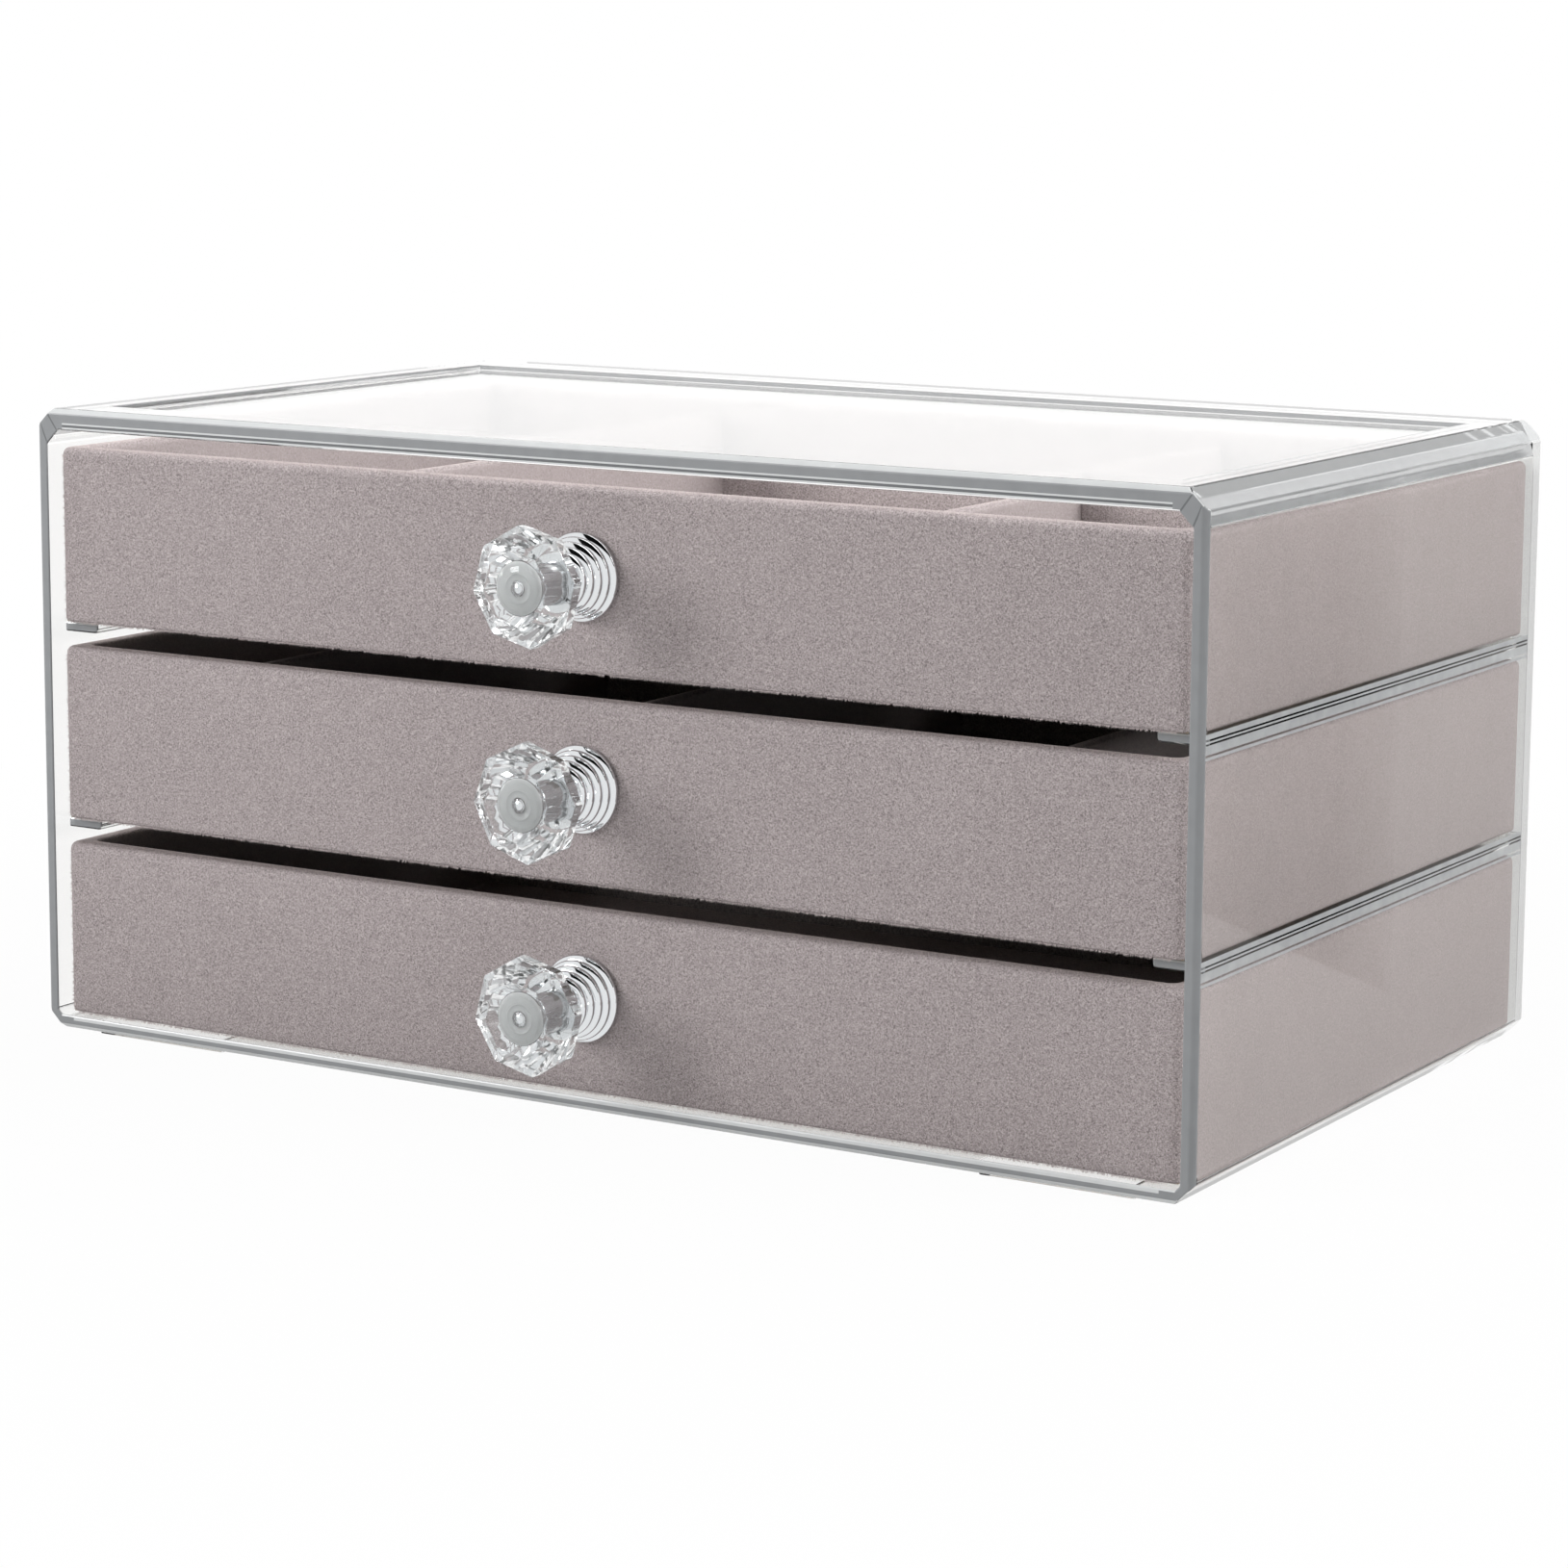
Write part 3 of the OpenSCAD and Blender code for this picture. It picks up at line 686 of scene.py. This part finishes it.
def makeCover(level, shape):
    lo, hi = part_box(f"{level}_velvet_cover")
    roomLo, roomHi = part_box(f"{level}_floor_lining")
    steps = shape["cornerSteps"]
    bm = bmesh.new()
    outer = roundedLoop(bm, lo, hi, hi.z, shape["cornerRound"], shape["backRound"], steps)
    inner = roundedLoop(bm, roomLo, roomHi, hi.z, shape["innerRound"], shape["innerRound"], steps)
    rims = outer + inner
    bmesh.ops.bridge_loops(bm, edges=rims)
    feet = []
    for loop, bottom in ((outer, lo.z), (inner, roomLo.z)):
        grown = bmesh.ops.extrude_edge_only(bm, edges=loop)["geom"]
        bmesh.ops.translate(bm, vec=(0, 0, bottom - hi.z), verts=kindOf(grown, bmesh.types.BMVert))
        feet.append(kindOf(grown, bmesh.types.BMEdge))
    folded = bmesh.ops.extrude_edge_only(bm, edges=feet[0])["geom"]  # the cloth turns in under the boards
    shrink = [1 - 2 * shape["fold"] * mm / (hi - lo)[i] for i in range(2)] + [1]
    bmesh.ops.scale(bm, vec=shrink, space=Matrix.Translation(-(lo + hi) / 2),
                    verts=kindOf(folded, bmesh.types.BMVert))
    bevelled(bm, feet[0], shape["footRound"], shape["footSteps"])
    bevelled(bm, rims, shape["edgeRound"], shape["steps"])
    bmesh.ops.recalc_face_normals(bm, faces=bm.faces)
    bmesh.ops.solidify(bm, geom=bm.faces, thickness=shape["skin"] * mm)
    cover = makePiece(f"{level}_velvet_skin", bm, velvet, f"{level}_drawer",
                      [f"{level}_velvet_cover"], shape["smooth"])
    makePile(level, pileShape, shape)


# lengths in mm, turns in degrees up, down and round the corners from straight out
pileShape = {"perMm": 12, "length": (0.15, 0.5), "base": 0.07, "sunk": 0.05, "tilt": 0.6, "seed": 11,
             "upper": (60, 110), "lower": (20, 80), "upright": (10, 80), "foot": (0.02, 0.15), "clear": 0.3}


# loose fibre ends along the front's upper, lower and upright edges
def makePile(level, shape, cover):
    lo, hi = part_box(f"{level}_velvet_cover")
    draw = random.Random(shape["seed"] + levels.index(level))
    corner, roll = cover["cornerRound"] * mm, cover["edgeRound"] * mm
    roots = []  # place and way out of each fibre
    for _ in range(int((hi.x - lo.x - 2 * corner) / mm * shape["perMm"])):
        x = draw.uniform(lo.x + corner, hi.x - corner)
        turn = math.radians(draw.uniform(*shape["upper"]))
        out = Vector((0, -math.cos(turn), math.sin(turn)))
        roots.append((Vector((x, lo.y + roll, hi.z - roll)) + out * roll, out))
        turn = math.radians(draw.uniform(*shape["lower"]))
        out = Vector((0, -math.cos(turn), -math.sin(turn)))
        x = draw.uniform(lo.x + corner, hi.x - corner)
        roots.append((Vector((x, lo.y, lo.z + draw.uniform(*shape["foot"]) * mm)), out))
    for side, x in ((-1, lo.x + corner), (1, hi.x - corner)):
        for _ in range(int((hi.z - lo.z - roll) / mm * shape["perMm"])):
            turn = math.radians(draw.uniform(*shape["upright"]))
            out = Vector((side * math.sin(turn), -math.cos(turn), 0))
            z = draw.uniform(lo.z + shape["clear"] * mm, hi.z - roll)
            roots.append((Vector((x, lo.y + corner, z)) + out * corner, out))
    bm = bmesh.new()
    for root, out in roots:
        lean = Vector([draw.uniform(-1, 1) * shape["tilt"] for _ in range(3)])
        tip = bm.verts.new(root + (out + lean).normalized() * draw.uniform(*shape["length"]) * mm)
        across = out.orthogonal().normalized() * shape["base"] * mm
        foot = root - out * shape["sunk"] * mm
        ring = [bm.verts.new(foot + Matrix.Rotation(k * 2 * math.pi / 3, 3, out) @ across) for k in range(3)]
        for k in range(3):
            bm.faces.new((ring[k], ring[(k + 1) % 3], tip))
        bm.faces.new(ring[::-1])
    return makePiece(f"{level}_velvet_pile", bm, fibre, f"{level}_drawer")


# box in place of a node, with its upper edges rolled
def makeStrip(name, node, body, rolled, shape):
    lo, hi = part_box(node)
    bm = bmesh.new()
    bmesh.ops.create_cube(bm, size=1)
    bmesh.ops.scale(bm, vec=hi - lo, verts=bm.verts)
    bmesh.ops.translate(bm, vec=(lo + hi) / 2, verts=bm.verts)
    upper = [e for e in bm.edges if all(v.co.z > hi.z - tiny for v in e.verts)]
    bevelled(bm, upper, rolled, shape["stripSteps"])
    return makePiece(name, bm, velvet, body, [node], shape["smooth"])


for level in levels:
    makeCover(level, drawerShape)
    lining = makeStrip(f"{level}_lining_cloth", f"{level}_floor_lining", f"{level}_drawer",
                       drawerShape["liningRound"], drawerShape)
for node in [n for n in nodes if "_divider_" in n or "_cross_" in n]:
    makeStrip(f"{node}_strip", node, node.split("_")[0] + "_drawer", drawerShape["dividerRound"], drawerShape)
print("drawers covered")

# knobs: ringed chrome base and a crystal with eight crown facets, a pleated back and a bore behind its table
# lengths in mm, turns in degrees
knobShape = {
    "rings": 6, "bead": 0.42, "beadSteps": 6, "beadShare": 0.44, "rimIn": 0.5, "roundSteps": 72, "neck": 4.2,
    "post": 2.6, "disc": 4.5, "discEdge": 0.15, "discIn": 0.97, "discAt": 9.2, "discEnd": 9.9,
    "satinFrom": 0.05,
    "discFace": ((0.8, -0.14), (0.6, -0.03), (0.55, 0.08), (0.5, -0.01)),  # share of disc, way past its end
    "tip": 1.3, "tipFoot": 1.1, "tipRise": 0.1, "tipEnd": 10.4,
    "dome": ((0.8, -0.15), (0.45, -0.03)),  # share of tip, way past its end
    "facets": 8, "pleats": 3, "pleatDepth": 0.24, "frostFrom": 0.2, "boreGap": 0.12, "seatGap": 0.03,
    "facetRound": 0.12, "facetTurn": 12, "ringSmooth": 45, "facetSmooth": 8,
    "table": 6.4, "girdle": 10.2, "back": 5.0, "backLength": 7.0, "girdleLength": 2.0, "lip": 1.6,
    "turned": {"top": 7, "middle": 3, "bottom": 8},
}


# where a knob's axis meets the drawer front
def knobAxis(level):
    lo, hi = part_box(f"{level}_knob_base")
    return Vector(((lo.x + hi.x) / 2, hi.y, (lo.z + hi.z) / 2))


# turns (radius, way out from the drawer front), in metres, round the knob's axis
def spinOutline(bm, outline, axis, steps):
    verts = [bm.verts.new(axis + Vector((r, -out, 0))) for r, out in outline]
    line = [bm.edges.new(pair) for pair in zip(verts, verts[1:])]
    bmesh.ops.spin(bm, geom=verts + line, cent=axis, axis=(0, 1, 0), angle=2 * math.pi, steps=steps,
                   use_merge=True)
    bmesh.ops.remove_doubles(bm, verts=bm.verts, dist=tiny / 10)


# the flanged post that the crystal is moulded on, or the hollow round it
def postOutline(shape, long_, grow):
    post, disc, tip = (shape[k] + grow for k in ("post", "disc", "tip"))
    under, end, tipEnd = shape["discAt"] - grow, shape["discEnd"] + grow, shape["tipEnd"] + grow
    edge = shape["discEdge"]
    line = [(post, 0.0), (post, under), (disc - edge, under), (disc, under + edge),
            (disc * shape["discIn"], under + 2 * edge)]
    line += [(disc * share, end + out) for share, out in shape["discFace"]]
    line += [(tip * shape["tipFoot"], end), (tip, end + shape["tipRise"])]
    line += [(tip * share, tipEnd + out) for share, out in shape["dome"]] + [(0, tipEnd)]
    return [(r * mm, long_ + out * mm) for r, out in line]


def makeKnobBase(level, shape):
    lo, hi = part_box(f"{level}_knob_base")
    neck, wide, long_ = shape["neck"] * mm, (hi.x - lo.x) / 2, hi.y - lo.y
    step, drop = long_ / shape["rings"], (wide - neck) / (shape["rings"] - 1)
    outline = [(0, 0), (wide - shape["rimIn"] * mm, 0)]
    angles = [math.pi * k / shape["beadSteps"] for k in range(1, shape["beadSteps"])]
    for ring in range(shape["rings"]):  # each ring is a half-round bead with a groove after it
        r, at, bead = wide - ring * drop, ring * step, shape["bead"] * mm
        outline += [(r - bead * (1 - math.sin(a)), at + step * (0.5 - shape["beadShare"] * math.cos(a)))
                    for a in angles]
    bm = bmesh.new()
    axis = knobAxis(level)
    spinOutline(bm, outline + postOutline(shape, long_, 0), axis, shape["roundSteps"])
    flange = long_ + (shape["discAt"] + shape["satinFrom"]) * mm
    for face in bm.faces:  # the front of the flange is satin, the rest and the dome on it are bright
        middle = face.calc_center_median() - axis
        face.material_index = int(-middle.y > flange and math.hypot(middle.x, middle.z) > shape["tip"] * mm)
    rings = makePiece(f"{level}_knob_rings", bm, chrome, f"{level}_drawer", [f"{level}_knob_base"],
                      shape["ringSmooth"])
    rings.data.materials.append(insert)


# carries a loop of edges on by one ring, wider or narrower and further back
def ringOut(bm, loop, scale, back, centre):
    grown = bmesh.ops.extrude_edge_only(bm, edges=loop)["geom"]
    verts = kindOf(grown, bmesh.types.BMVert)
    bmesh.ops.scale(bm, vec=(scale, 1, scale), space=Matrix.Translation(-centre), verts=verts)
    bmesh.ops.translate(bm, vec=(0, back, 0), verts=verts)
    return verts, kindOf(grown, bmesh.types.BMEdge)


# turn of a place round the knob's axis
def turnOf(place, axis):
    return math.atan2(place.z - axis.z, place.x - axis.x)


def makeCrystal(level, shape):
    lo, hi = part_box(f"{level}_knob_crystal")
    seat = knobAxis(level)
    long_ = seat.y - hi.y + shape["seatGap"] * mm  # from the drawer front to the crystal's back
    axis = Vector((seat.x, lo.y, seat.z))
    table, girdle, lip, back = (shape[k] for k in ("table", "girdle", "lip", "backLength"))
    crown = (hi.y - lo.y) / mm - back - shape["girdleLength"]
    bm = bmesh.new()
    front = bmesh.ops.create_circle(bm, cap_ends=True, segments=shape["facets"], radius=table * mm)["verts"]
    upright = Matrix.Rotation(math.radians(90), 4, "X")
    turn = upright @ Matrix.Rotation(math.radians(shape["turned"][level]), 4, "Z")
    bmesh.ops.transform(bm, matrix=Matrix.Translation(axis) @ turn, verts=front)
    bmesh.ops.subdivide_edges(bm, edges=bm.edges[:], cuts=2 * shape["pleats"] - 1)
    _, loop = ringOut(bm, bm.edges[:], girdle / table, crown * mm, axis)
    ringOut(bm, loop, 1, shape["girdleLength"] * mm, axis)
    softenEdges(bm, shape["facetRound"], 2, shape["facetTurn"])
    loop = [e for e in bm.edges if e.is_boundary]
    pleated, loop = ringOut(bm, loop, (girdle - lip) / girdle, lip * mm, axis)
    inner, _ = ringOut(bm, loop, shape["back"] / (girdle - lip), (back - lip - shape["seatGap"]) * mm, axis)
    for ring in (pleated, inner):  # every other point drops in, which pleats the back
        around = sorted(ring, key=lambda v: turnOf(v.co, axis))
        for vert in around[1::2]:
            inward = Vector((vert.co.x - axis.x, 0, vert.co.z - axis.z)).normalized()
            vert.co -= inward * shape["pleatDepth"] * mm
    bm.normal_update()
    frosted = axis.y + (crown + shape["girdleLength"] + shape["frostFrom"]) * mm
    for face in bm.faces:  # the pleated back is frosted
        face.material_index = int(face.calc_center_median().y > frosted)
    spinOutline(bm, postOutline(shape, long_, shape["boreGap"]), seat, 2 * shape["facets"] * shape["pleats"])
    # spin leaves its edges in a new order each run, so they are put in one order for the bridge to start from
    bm.edges.sort(key=lambda e: turnOf((e.verts[0].co + e.verts[1].co) / 2, axis))
    bmesh.ops.bridge_loops(bm, edges=[e for e in bm.edges if e.is_boundary])
    cut = makePiece(f"{level}_knob_cut", bm, crystal, f"{level}_drawer", [f"{level}_knob_crystal"],
                    shape["facetSmooth"])
    cut.data.materials.append(pleat)


for level in levels:
    makeKnobBase(level, knobShape)
    makeCrystal(level, knobShape)
print("knobs made")
